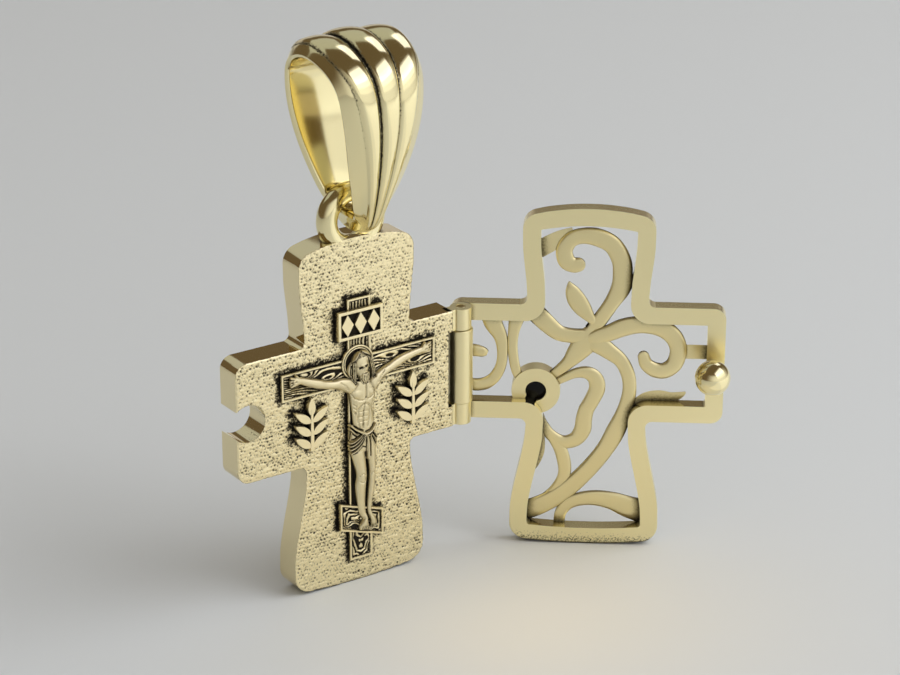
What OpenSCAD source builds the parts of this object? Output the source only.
// A hinged cross locket on a fluted bail, in millimetres.
// The cross hangs upright with its figured face towards -Y and its lid swung open to the right.
// The origin is the chain's seat, at the top of the bail's eye.

/* [Cross] */
// Reach of each arm from the cross's middle
arm_reach = 9.95; // [9.9:0.01:10.1]
// Half of the arms' height
arm_half = 4.5; // [4.3:0.1:4.7]
// Half width of the upright where it leaves the arms
neck_half = 4.33; // [4.2:0.01:4.5]
// Height of the top edge above the arms' middle line
top_height = 11.9; // [11.7:0.05:12.1]
// Depth of the foot's edge below the arms' middle line
foot_depth = 14.58; // [14.4:0.01:14.8]
// How much wider each side of the top is than the neck
top_flare = 0.42; // [0.3:0.02:0.6]
// How much wider each side of the foot is than the neck
foot_flare = 1.2; // [1:0.05:1.4]
// Thickness of the cross behind its figured face
body_thick = 2.15; // [2:0.05:2.3]
// Radius of the round notch in the left arm
notch_r = 1.38; // [1.36:0.01:1.42]
// How far the notch's middle lies in from the arm's end
notch_in = 0.91; // [0.86:0.01:0.94]

/* [Lid] */
// Thickness of the lid's frame
lid_thick = 1.15; // [1.05:0.05:1.25]
// Width of the lid's frame bars
bar_w = 1.3; // [1.2:0.05:1.4]
// How far the scrollwork lies below the frame's inner face
scroll_depth = 0.85; // [0.8:0.01:0.9]
// Thickness of the scrollwork
scroll_thick = 0.3; // [0.25:0.05:0.35]
// Outer radius of the stone's tube setting
tube_r = 1.78; // [1.7:0.02:1.84]
// Radius of the hole behind the stone
tube_hole_r = 0.76; // [0.6:0.02:0.9]
// Radius of the catch's ball
ball_r = 1.28; // [1.2:0.01:1.29]
// Angle that the lid stands open from shut
lid_open = 142; // [120:1:170]

/* [Hinge] */
// Distance of the hinge's axis from the cross's middle line
hinge_x = 9.13; // [9.1:0.01:9.18]
// Distance of the hinge's axis behind the figured face
hinge_y = 0.56; // [0.54:0.01:0.6]
// Radius of the cross's two knuckles
knuckle_r = 0.78; // [0.74:0.01:0.8]
// Radius of the lid's long knuckle
lid_knuckle_r = 0.9; // [0.86:0.01:0.94]
// Half length of the lid's knuckle
lid_knuckle_half = 2.85; // [2.7:0.05:3]
// Radius of the hinge pin
pin_r = 0.35; // [0.3:0.01:0.38]

/* [Bail] */
// Radius of the ring's wire
wire_r = 0.75; // [0.7:0.01:0.78]
// Radius of the ring, to the middle of its wire
ring_r = 1.95; // [1.9:0.01:2]
// Height of the bail's top above the arms' middle line
bail_top = 26.55; // [26.4:0.05:26.7]
// Crown of each lobe where it is 1 mm wide to its groove
lobe_rise = 0.17; // [0.1:0.01:0.22]

/* [Relief] */
// Thickness of the raised planks
plank_rise = 0.25; // [0.2:0.01:0.3]
// Height of the rims and the ornament above the planks
rim_rise = 0.05; // [0.04:0.01:0.08]
// Width of the rims
rim_w = 0.14; // [0.1:0.01:0.2]
// Greatest height of the figure above the face
figure_rise = 0.8; // [0.7:0.01:0.82]
// Height of the two sprigs above the face
sprig_rise = 0.6; // [0.4:0.01:0.64]

/* [Hidden] */

gold = [0.80, 0.74, 0.52];
pale_gold = [0.86, 0.81, 0.62];
black = [0.03, 0.03, 0.03];

// Clearances
face_gap = 0.05;
seat_gap = 0.02;
running_gap = 0.05;
pin_gap = 0.01;
knuckle_gap = 0.04;
recess_gap = 0.08;

// The frame of the whole part, from the cross's own middle
ring_y = 0.8;
ring_z = top_height + 1.2;
bail_y = 0.2;
bail_wall = 1.3;
seat_z = bail_top - bail_wall;

// Round and flat stretches
round_fn = 64;
corner_steps = 6;
big = 30;

// A slab between two depths, from a flat outline drawn in width and height
module slab(front, back) {
    translate([0, back, 0]) rotate([90, 0, 0]) linear_extrude(back - front) children();
}

// A straight round rod along the depth
module rod(x, z, r, front, back) {
    translate([x, back, z]) rotate([90, 0, 0]) cylinder(h = back - front, r = r, $fn = round_fn);
}

// From the cross's own frame to the part's
module hung() {
    translate([0, -bail_y, -seat_z]) children();
}

// From the shut lid's place to where it stands open
module opened() {
    translate([hinge_x, hinge_y, 0]) rotate([0, 0, lid_open]) translate([-hinge_x, -hinge_y, 0]) children();
}

function ease(s) = s * s * (3 - 2 * s);

function mirrored(list) = [for (i = [len(list) - 1 : -1 : 0]) [-list[i][0], list[i][1], list[i][2]]];

// One corner at b, between a and c, turned to a round of radius b[2]
function corner(a, b, c) =
    let (p = [b[0], b[1]], u = ([a[0], a[1]] - p) / norm([a[0], a[1]] - p),
         v = ([c[0], c[1]] - p) / norm([c[0], c[1]] - p), half = acos(u * v) / 2,
         middle = p + (u + v) / norm(u + v) * b[2] / sin(half),
         first = p + u * b[2] / tan(half) - middle, last = p + v * b[2] / tan(half) - middle,
         from = atan2(first[1], first[0]), turn = atan2(last[1], last[0]) - from,
         sweep = turn > 180 ? turn - 360 : (turn < -180 ? turn + 360 : turn))
    b[2] == 0 ? [p] : [for (i = [0 : corner_steps])
        middle + b[2] * [cos(from + sweep * i / corner_steps), sin(from + sweep * i / corner_steps)]];

// An outline whose rows are x, z and the radius of the corner there
function rounded(rows) = [for (i = [0 : len(rows) - 1])
    each corner(rows[(i + len(rows) - 1) % len(rows)], rows[i], rows[(i + 1) % len(rows)])];

// Half width of the upright at a share s of the way along its top or foot
top_length = 5.3;
foot_length = 8.3;
function top_side(s, inset) = [neck_half - inset + top_flare * ease(s), arm_half + top_length * s, 0];
function foot_side(s, inset) = [neck_half - inset + foot_flare * ease(s), -arm_half - foot_length * s, 0];

// The cross's outline, drawn in by an inset, with the radii of its four kinds of corner
top_bow = 17;
foot_bow = 45;
function top_edge(x, inset) = [x, top_height - inset - x * x / (2 * top_bow), 0];
function foot_edge(x, inset) = [x, -foot_depth + inset + x * x / (2 * foot_bow), 0];
function half_outline(inset, tip_r, inner_r, top_r, foot_r) =
    let (top_x = neck_half - inset + top_flare, foot_x = neck_half - inset + foot_flare)
    concat(
        [for (x = [1.6, 3.0]) top_edge(x, inset)],
        [[top_x, top_edge(top_x, inset)[1], top_r]],
        [for (s = [0.8, 0.65, 0.5, 0.35]) top_side(s, inset)],
        [[neck_half - inset, arm_half - inset, inner_r],
         [arm_reach - inset, arm_half - inset, tip_r],
         [arm_reach - inset, -arm_half + inset, tip_r],
         [neck_half - inset, -arm_half + inset, inner_r]],
        [for (s = [0.2, 0.32, 0.44, 0.56, 0.68, 0.8]) foot_side(s, inset)],
        [[foot_x, foot_edge(foot_x, inset)[1], foot_r]],
        [for (x = [3.0, 1.5]) foot_edge(x, inset)]);
function cross_outline(inset, tip_r, inner_r, top_r, foot_r) =
    let (half = half_outline(inset, tip_r, inner_r, top_r, foot_r))
    rounded(concat(half, mirrored(half)));

module outer_shape() {
    polygon(cross_outline(0, 0.9, 0.5, 1.2, 1.35));
}

module window_shape() {
    polygon(cross_outline(bar_w, 0.08, 1.45, 0.12, 0.25));
}

// A spline through rows, with a few steps between each two
function at(rows, i) = rows[max(0, min(len(rows) - 1, i))];
function blended(a, b, c, d, s) =
    0.5 * (2 * b + (c - a) * s + (2 * a - 5 * b + 4 * c - d) * s * s + (3 * b - 3 * c + d - a) * s * s * s);
function spline(rows, steps) = concat(
    [for (i = [0 : len(rows) - 2], k = [0 : steps - 1])
        blended(at(rows, i - 1), at(rows, i), at(rows, i + 1), at(rows, i + 2), k / steps)],
    [rows[len(rows) - 1]]);

// A flat strip along a spline whose rows are x, z and width
ribbon_steps = 3;
function strip_side(line, i, side) =
    let (a = at(line, i - 1), c = at(line, i + 1), run = [c[0] - a[0], c[1] - a[1]])
    [line[i][0], line[i][1]] + side * line[i][2] / 2 / norm(run) * [-run[1], run[0]];
module ribbon(rows) {
    line = spline(rows, ribbon_steps);
    polygon(concat([for (i = [0 : len(line) - 1]) strip_side(line, i, 1)],
                   [for (i = [len(line) - 1 : -1 : 0]) strip_side(line, i, -1)]));
}

// The lid's scrolls, each a strip with rows of x, z and width, as they lie when it is shut
SCROLLS = [
    // the big curl in the top arm
    [[-0.35, 2.2, 1.2], [-1.6, 4.2, 1.1], [-2.35, 5.6, 1.45], [-2.45, 6.6, 1.45], [-2.3, 7.75, 1.4],
     [-1.65, 8.85, 1.35], [-0.6, 9.4, 1.35], [0.45, 9.5, 1.2], [1.3, 9.2, 1.15], [1.78, 8.4, 1.2],
     [1.6, 7.55, 1.25], [1.0, 7.15, 1.2], [0.35, 7.25, 1.1]],
    // the leaf beside it
    [[1.3, 5.95, 0.1], [1.05, 5.3, 0.85], [0.7, 4.6, 1.15], [0.2, 3.85, 1.1], [-0.35, 3.1, 0.6],
     [-0.7, 2.6, 0.4]],
    // the branch to the hinge side's upper corner
    [[4.0, 3.7, 1.5], [2.9, 2.6, 1.35], [2.1, 1.95, 1.2], [1.2, 1.75, 1.15], [0.3, 1.7, 1.2], [-0.6, 1.7, 1.2]],
    // the branch down to the tube
    [[-0.5, 1.3, 1.3], [0.55, 0.35, 1.25], [1.35, -0.45, 1.0], [2.5, -1.5, 0.8]],
    // the loop by the hinge
    [[7.1, 3.6, 1.5], [6.85, 2.6, 1.35], [6.3, 1.5, 1.0], [6.15, 0.4, 0.8], [6.25, -0.7, 0.78],
     [6.7, -1.65, 0.85], [7.4, -2.2, 0.95], [8.3, -2.3, 0.95], [9.1, -2.0, 0.9]],
    // its inner tip
    [[9.1, 0.4, 1.0], [8.2, 0.42, 0.95], [7.55, 0.3, 0.75], [7.25, 0.2, 0.4]],
    // the short strip down to the tube
    [[5.0, 3.6, 1.4], [5.3, 2.3, 0.9], [5.42, 1.2, 0.75], [5.35, 0, 0.72], [5.1, -1.2, 0.7], [4.6, -2.1, 0.6]],
    // the curl in the far arm
    [[-0.7, 1.7, 1.2], [-1.6, 2.05, 1.25], [-2.6, 2.5, 1.35], [-3.8, 2.75, 1.3], [-5.2, 2.6, 1.35],
     [-6.2, 1.9, 1.3], [-6.62, 0.9, 1.25], [-6.4, -0.2, 1.2], [-5.75, -0.78, 1.2], [-5.0, -0.78, 1.15],
     [-4.35, -0.35, 1.0], [-4.12, 0.3, 0.8]],
    // the long stem to the foot
    [[-0.6, 1.1, 1.3], [-1.6, 0.5, 1.15], [-2.5, -0.15, 1.05], [-3.05, -1.3, 1.02], [-3.15, -2.6, 1.02],
     [-2.85, -4.1, 1.15], [-2.25, -5.7, 1.4], [-1.5, -7.2, 1.3], [-0.4, -8.75, 1.3], [0.9, -10.2, 1.35],
     [2.2, -11.3, 1.4], [3.4, -12.0, 1.5], [4.6, -12.5, 1.6]],
    // the petal under the tube
    [[2.4, -2.1, 0.5], [1.6, -1.6, 0.6], [0.8, -1.2, 0.75], [-0.05, -1.15, 1.0], [-0.65, -1.6, 1.15],
     [-0.8, -2.4, 1.2], [-0.45, -3.3, 1.15], [-0.05, -4.1, 1.15], [0.12, -4.9, 1.2], [0.2, -5.7, 1.25],
     [0.65, -6.45, 1.15], [1.4, -6.75, 1.05], [2.1, -6.55, 0.95], [2.75, -5.95, 0.8], [3.2, -5.1, 0.65],
     [3.5, -4.2, 0.6]],
    // the stroke below it
    [[3.0, -5.3, 0.5], [2.45, -6.3, 0.7], [1.85, -7.25, 0.95], [1.55, -8.2, 1.0], [1.45, -9.1, 0.95],
     [1.65, -9.9, 0.9], [2.2, -10.7, 0.9]],
    // the small leaf beside the frame
    [[3.6, -4.6, 0.4], [3.15, -6.2, 0.75], [3.15, -7.5, 0.95], [3.5, -8.7, 0.7], [3.9, -9.3, 0.4]],
    // the arc over the foot
    [[1.8, -13.9, 0.85], [1.72, -12.6, 0.85], [1.15, -11.75, 1.0], [0.2, -11.35, 1.1], [-0.9, -11.25, 1.25],
     [-2.1, -11.45, 1.45], [-3.3, -11.9, 1.75], [-4.6, -12.3, 2.0]]
];

// Three strips that lie a little further out than the rest
OUTER_SCROLLS = [
    [[1.1, 9.7, 0.9], [2.0, 9.3, 1.2], [3.0, 8.75, 1.3], [3.9, 8.2, 1.3]],
    [[-3.1, -4.4, 0.4], [-3.7, -3.4, 0.9], [-4.4, -2.85, 1.1], [-5.3, -2.65, 1.1], [-6.2, -2.6, 0.95],
     [-7.1, -2.25, 0.25]],
    [[-6.9, 0.72, 1.1], [-9.2, 0.72, 1.1]]
];
outer_shift = 0.15;
curl_tip_r = 0.56;
arm_tip_r = 0.45;

// Where the stone's tube stands, and how deep its parts are below the frame's inner face
tube_x = 3.68;
tube_z = -2.6;
tube_face = 0.75;
tube_plate = 0.3;
tube_end = 2.0;
tube_seat_r = 1.4;
slot_w = 0.85;
slot_reach = 1.3;
slot_turn = 62;
stone_gap = 0.04;
dome_r = 2.1;
dome_high = 1.3;

module scrollwork() {
    slab(-face_gap - scroll_depth - scroll_thick, -face_gap - scroll_depth) {
        for (rows = SCROLLS) ribbon(rows);
        translate([0.35, 7.25]) circle(curl_tip_r, $fn = 32);
        translate([-4.12, 0.35]) circle(arm_tip_r, $fn = 32);
    }
    slab(-face_gap - scroll_depth - scroll_thick - outer_shift, -face_gap - scroll_depth - outer_shift)
        for (rows = OUTER_SCROLLS) ribbon(rows);
}

// The middle of the ball, and the stalk that it stands on
ball_x = -arm_reach + notch_in;
ball_y = 2.0;
stalk_r = 0.45;

module lid_cross() {
    color(gold) hung() opened() difference() {
        union() {
            slab(-face_gap - lid_thick, -face_gap) difference() {
                outer_shape();
                window_shape();
            }
            intersection() {
                scrollwork();
                slab(-big, big) polygon(cross_outline(0.35, 0.6, 0.8, 0.9, 1.0));
            }
            rod(tube_x, tube_z, tube_r, -face_gap - tube_end, -face_gap - tube_face);
            translate([hinge_x, hinge_y, -lid_knuckle_half])
                cylinder(h = 2 * lid_knuckle_half, r = lid_knuckle_r, $fn = round_fn);
            rod(ball_x, 0, stalk_r, -face_gap - lid_thick / 2, ball_y);
            translate([ball_x, ball_y, 0]) sphere(ball_r, $fn = round_fn);
        }
        // the stone's seat, the hole behind it and the slot beside the hole
        rod(tube_x, tube_z, tube_seat_r, -big, -face_gap - tube_face - tube_plate);
        rod(tube_x, tube_z, tube_hole_r, -big, 0);
        translate([tube_x, -face_gap - tube_face, tube_z]) rotate([0, slot_turn, 0])
            translate([0, -tube_plate - 0.1, -slot_w / 2]) cube([slot_reach, tube_plate + 0.2, slot_w]);
        // the bore for the pin, and room for the cross's knuckles
        translate([hinge_x, hinge_y, -lid_knuckle_half - 1])
            cylinder(h = 2 * lid_knuckle_half + 2, r = pin_r + running_gap, $fn = round_fn);
        for (z = [-arm_half - 1, lid_knuckle_half]) translate([hinge_x, hinge_y, z])
            cylinder(h = arm_half + 1 - lid_knuckle_half, r = knuckle_r + recess_gap, $fn = round_fn);
    }
}

module stone() {
    back = -face_gap - tube_face - tube_plate - stone_gap;
    color(black) hung() opened() intersection() {
        rod(tube_x, tube_z, tube_seat_r - stone_gap, -big, back);
        translate([tube_x, back - dome_high + dome_r, tube_z]) sphere(dome_r, $fn = round_fn);
    }
}

// Where the cross's right arm stops, for the knuckles and the lid's end
arm_end = 8.1;
slot_end = 7.75;
neck_end = 8.6;
neck_deep = 0.85;

module knuckle(low) {
    tall = arm_half - lid_knuckle_half - knuckle_gap;
    translate([hinge_x, hinge_y, low]) cylinder(h = tall, r = knuckle_r, $fn = round_fn);
    translate([slot_end, 0, low]) cube([neck_end - slot_end, neck_deep, tall]);
}

module cross_body() {
    long = 2 * arm_half + 2;
    deep = body_thick + 2;
    color(pale_gold) hung() difference() {
        union() {
            difference() {
                slab(0, body_thick) outer_shape();
                translate([arm_end, -1, -arm_half - 1]) cube([5, deep, long]);
                translate([slot_end, -1, -lid_knuckle_half - knuckle_gap])
                    cube([5, deep, 2 * (lid_knuckle_half + knuckle_gap)]);
                rod(ball_x, 0, notch_r, -1, body_thick + 1);
            }
            knuckle(lid_knuckle_half + knuckle_gap);
            knuckle(-arm_half);
            translate([0, ring_y, ring_z]) rotate([90, 0, 0])
                rotate_extrude($fn = 96) translate([ring_r, 0]) circle(wire_r, $fn = 48);
        }
        translate([hinge_x, hinge_y, -arm_half - 1]) cylinder(h = long, r = pin_r + pin_gap, $fn = round_fn);
    }
}

module hinge_pin() {
    color(gold) hung() translate([hinge_x, hinge_y, -arm_half])
        cylinder(h = 2 * arm_half, r = pin_r, $fn = round_fn);
}

// The planks: the upright, the bar, the board above it and the slanted board at the feet
planks_x = -0.1;
upright_half = 0.95;
upright_low = -12.7;
upright_high = 7.5;
bar_reach = 6.38;
bar_low = 1.06;
bar_high = 3.08;
title_half = 1.84;
title_low = 4.62;
title_high = 6.75;
foot_half = 1.82;
foot_left = -7.95;
foot_drop = 1.2;
foot_tall = 2.08;
halo_x = -0.2;
halo_z = 2.45;
halo_r = 1.35;
halo_rise = 0.09;

module box_shape(left, right, low, high) {
    translate([left, low]) square([right - left, high - low]);
}

module foot_shape(inset) {
    slope = foot_drop / (2 * foot_half);
    polygon([[-foot_half + inset, foot_left - inset * (1 + slope)],
             [foot_half - inset, foot_left - foot_drop - inset * (1 - slope)],
             [foot_half - inset, foot_left - foot_drop - foot_tall + inset * (1 + slope)],
             [-foot_half + inset, foot_left - foot_tall + inset * (1 - slope)]]);
}

module small_cross() {
    title_rise = 0.5;
    foot_rise = plank_rise + 0.03;
    lozenge = 1.15;
    color(pale_gold) hung() translate([planks_x, 0, 0]) {
        difference() {
            slab(-plank_rise - rim_rise, -seat_gap) {
                box_shape(-upright_half, upright_half, upright_low, upright_high);
                box_shape(-bar_reach, bar_reach, bar_low, bar_high);
            }
            slab(-1, -plank_rise) {
                box_shape(-upright_half + rim_w, upright_half - rim_w,
                          upright_low + rim_w, upright_high - rim_w);
                box_shape(-bar_reach + rim_w, bar_reach - rim_w, bar_low + rim_w, bar_high - rim_w);
            }
        }
        difference() {
            slab(-foot_rise - rim_rise, -seat_gap) foot_shape(0);
            slab(-1, -foot_rise) foot_shape(rim_w);
        }
        difference() {
            slab(-title_rise - rim_rise, -seat_gap) box_shape(-title_half, title_half, title_low, title_high);
            slab(-1, -title_rise + rim_rise)
                box_shape(-title_half + rim_w, title_half - rim_w, title_low + rim_w, title_high - rim_w);
        }
        // a row of lozenges on the board
        slab(-title_rise - rim_rise, -title_rise + 0.1) for (i = [-1 : 1])
            translate([i * lozenge, (title_low + title_high) / 2])
                rotate(45) square(0.7 * lozenge, center = true);
        difference() {
            rod(halo_x, halo_z, halo_r, -plank_rise - halo_rise, -seat_gap);
            rod(halo_x, halo_z, halo_r - rim_w, -1, -plank_rise);
        }
    }
}

// A round form through rings, standing up or lying along the width
ring_sides = 14;
module loft(rows, upright) {
    points = [for (r = rows, i = [0 : ring_sides - 1])
        let (u = cos(360 * i / ring_sides), v = sin(360 * i / ring_sides))
        upright ? [r[0] + u * r[2], v * r[3] - figure_back, r[1]]
                : [r[0], u * r[3] - figure_back, r[1] + v * r[2]]];
    sides = [for (k = [0 : len(rows) - 2], i = [0 : ring_sides - 1])
        [k * ring_sides + i, (k + 1) * ring_sides + i,
         (k + 1) * ring_sides + (i + 1) % ring_sides, k * ring_sides + (i + 1) % ring_sides]];
    ends = [[for (i = [0 : ring_sides - 1]) i],
            [for (i = [ring_sides - 1 : -1 : 0]) (len(rows) - 1) * ring_sides + i]];
    polyhedron(points, concat(sides, ends), convexity = 6);
}

// The figure stands on the planks. Each form's rows are x, z and the ring's two radii, and run
// upwards or to the right; the radii are half its width and how far it stands out
figure_back = 0.36;
TORSO = [[0.05, -4.3, 1.15, 0.35], [0.08, -3.9, 1.25, 0.42], [0.08, -3.2, 1.16, 0.44],
         [0.08, -2.4, 1.1, 0.42], [0.08, -1.9, 0.98, 0.38], [0.05, -1.2, 0.98, 0.4],
         [0.05, -0.4, 1.06, 0.44], [0.02, 0.4, 1.14, 0.44], [0, 1.1, 1.1, 0.4], [0, 1.5, 0.6, 0.3]];
LEFT_LEG = [[-0.1, -9.5, 0.34, 0.26], [-0.13, -8.9, 0.34, 0.24], [-0.15, -8.0, 0.38, 0.26],
            [-0.2, -6.9, 0.48, 0.35], [-0.15, -6.1, 0.47, 0.37], [-0.12, -5.5, 0.5, 0.4],
            [-0.3, -4.2, 0.66, 0.4]];
RIGHT_LEG = [[0.55, -9.5, 0.26, 0.26], [0.5, -8.9, 0.24, 0.24], [0.52, -8.0, 0.28, 0.26],
             [0.56, -6.9, 0.34, 0.33], [0.66, -6.1, 0.34, 0.35], [0.74, -5.3, 0.4, 0.37], [0.7, -4.2, 0.55, 0.37]];
LEFT_FOOT = [[-0.05, -10.25, 0.25, 0.22], [-0.06, -9.95, 0.36, 0.33], [-0.1, -9.4, 0.33, 0.33]];
RIGHT_FOOT = [[0.6, -10.3, 0.22, 0.22], [0.6, -9.95, 0.31, 0.31], [0.56, -9.4, 0.26, 0.31]];
HEAD = [[0.22, 1.1, 0.25, 0.26], [0.16, 1.45, 0.55, 0.37], [0.08, 1.95, 0.72, 0.44], [0, 2.5, 0.78, 0.44],
        [-0.1, 3.0, 0.7, 0.4], [-0.15, 3.35, 0.45, 0.3]];
LEFT_ARM = [[-5.75, 2.35, 0.2, 0.18], [-5.35, 2.33, 0.3, 0.2], [-4.85, 2.2, 0.24, 0.22],
            [-4.2, 2.05, 0.29, 0.26], [-3.15, 1.72, 0.34, 0.3], [-2.2, 1.55, 0.36, 0.35],
            [-1.3, 1.3, 0.42, 0.4], [-0.6, 1.0, 0.5, 0.42]];
RIGHT_ARM = [[0.6, 0.7, 0.5, 0.42], [1.35, 1.05, 0.42, 0.4], [2.1, 1.5, 0.36, 0.35], [2.9, 1.88, 0.34, 0.3],
             [4.0, 2.2, 0.29, 0.26], [4.9, 2.42, 0.23, 0.22], [5.45, 2.45, 0.3, 0.2], [5.85, 2.45, 0.2, 0.18]];
CLOTH_END = [[0.5, -4.95, 0.16, 0.35], [0.48, -4.2, 0.22, 0.42], [0.42, -3.0, 0.26, 0.44]];
module figure() {
    color(pale_gold) hung() intersection() {
        union() {
            for (rows = [TORSO, LEFT_LEG, RIGHT_LEG, LEFT_FOOT, RIGHT_FOOT, HEAD, CLOTH_END]) loft(rows, true);
            for (rows = [LEFT_ARM, RIGHT_ARM]) loft(rows, false);
        }
        translate([-big / 2, -figure_rise, -big / 2]) cube([big, figure_rise - figure_back, big]);
    }
}

// A sprig of leaves on a stem, beside the figure
sprig_x = 4.25;
sprig_low = -3.05;
module sprig(side) {
    leaf = [[0, 0, 0.12], [0.35, 0.16, 0.5], [0.8, 0.42, 0.52], [1.3, 0.85, 0.1]];
    color(pale_gold) hung() slab(-sprig_rise, -seat_gap) translate([side * sprig_x, sprig_low]) {
        ribbon([[0, 0, 0.34], [0, 1.6, 0.3], [0, 3.0, 0.26]]);
        for (k = [0 : 2], turn = [-1, 1])
            ribbon([for (row = leaf) [turn * row[0], 0.35 + 0.95 * k + row[1], row[2]]]);
        ribbon([[0, 2.7, 0.2], [0, 3.2, 0.56], [0, 3.6, 0.46], [0, 4.0, 0.1]]);
    }
}

module left_sprig() {
    sprig(-1);
}

module right_sprig() {
    sprig(1);
}

// The bail: a band that runs round a drop-shaped loop, with three lobes across it.
// Rows are half depth, height above the arms, half the grooves' spacing, side bevel and wall
BAIL_ROWS = [
    [0, bail_top, 1.14, 0.5, bail_wall], [2.8, 25.7, 1.06, 0.5, 1.3], [4.31, 23.9, 0.86, 0.83, 1.3],
    [4.65, 21.2, 0.69, 1.03, 1.3], [4.2, 18.2, 0.49, 1.11, 1.3], [3.14, 15.0, 0.27, 0.95, 1.25],
    [2.0, 13.0, 0.15, 0.55, 1.3], [0, 12.4, 0.15, 0.35, 1.55]
];
bail_steps = 4;
rim_round = 0.1;
rim_gain = 0.35;
rim_gain_from = 0.8;
groove_deep = 0.2;
outer_lobe_drop = 0.2;
// Rows across a lobe are its share of the way to the groove, and of the crown's height
LOBE = [[-0.8, 0.3], [-0.3, 0.95], [0.3, 0.95], [0.8, 0.3]];

// The band's section, from one side to the other, as places across it and heights over its inside
function lobe_line(middle, g, level) = [for (p = LOBE) [middle + p[0] * g, level + p[1] * lobe_rise * sqrt(g)]];
function band_section(g, bevel, wall) =
    let (half = 3 * g + bevel, low = wall - outer_lobe_drop * min(1, g / 0.5), side = 3 * g + 0.47 * bevel,
         rim = rim_round + rim_gain * max(0, rim_gain_from - g))
    concat([[half - rim, 0], [half, rim], [side, 0.62 * wall], [3 * g, low - 0.04]],
           [for (p = lobe_line(-2 * g, g, low)) [-p[0], p[1]]],
           [[g, wall - groove_deep * min(1, g / 0.5)]],
           [for (p = lobe_line(0, g, wall)) [-p[0], p[1]]],
           [[-g, wall - groove_deep * min(1, g / 0.5)]],
           [for (p = lobe_line(2 * g, g, low)) [-p[0], p[1]]],
           [[-3 * g, low - 0.04], [-side, 0.62 * wall], [-half, rim], [-half + rim, 0]]);

module bail() {
    last = len(BAIL_ROWS) - 1;
    loop = [for (i = [-1 : 2 * last + 1])
        let (k = (i + 2 * last) % (2 * last), row = BAIL_ROWS[k <= last ? k : 2 * last - k])
        [k <= last ? -row[0] : row[0], row[1], row[2], row[3], row[4]]];
    stations = [for (i = [1 : 2 * last], k = [0 : bail_steps - 1])
        blended(loop[i - 1], loop[i], loop[i + 1], loop[i + 2], k / bail_steps)];
    count = len(stations);
    size = len(band_section(1, 1, 1));
    points = [for (i = [0 : count - 1])
        let (here = stations[i], before = stations[(i + count - 1) % count], after = stations[(i + 1) % count],
             run = [after[0] - before[0], after[1] - before[1]],
             inward = [-run[1], run[0]] / norm(run))
        for (p = band_section(here[2], here[3], here[4]))
            [p[0], here[0] + inward[0] * (here[4] - p[1]), here[1] + inward[1] * (here[4] - p[1])]];
    faces = [for (i = [0 : count - 1], k = [0 : size - 1])
        [i * size + k, ((i + 1) % count) * size + k,
         ((i + 1) % count) * size + (k + 1) % size, i * size + (k + 1) % size]];
    color(gold) hung() translate([0, bail_y, 0]) polyhedron(points, faces, convexity = 8);
}

bail();
cross_body();
small_cross();
figure();
left_sprig();
right_sprig();
hinge_pin();
lid_cross();
stone();
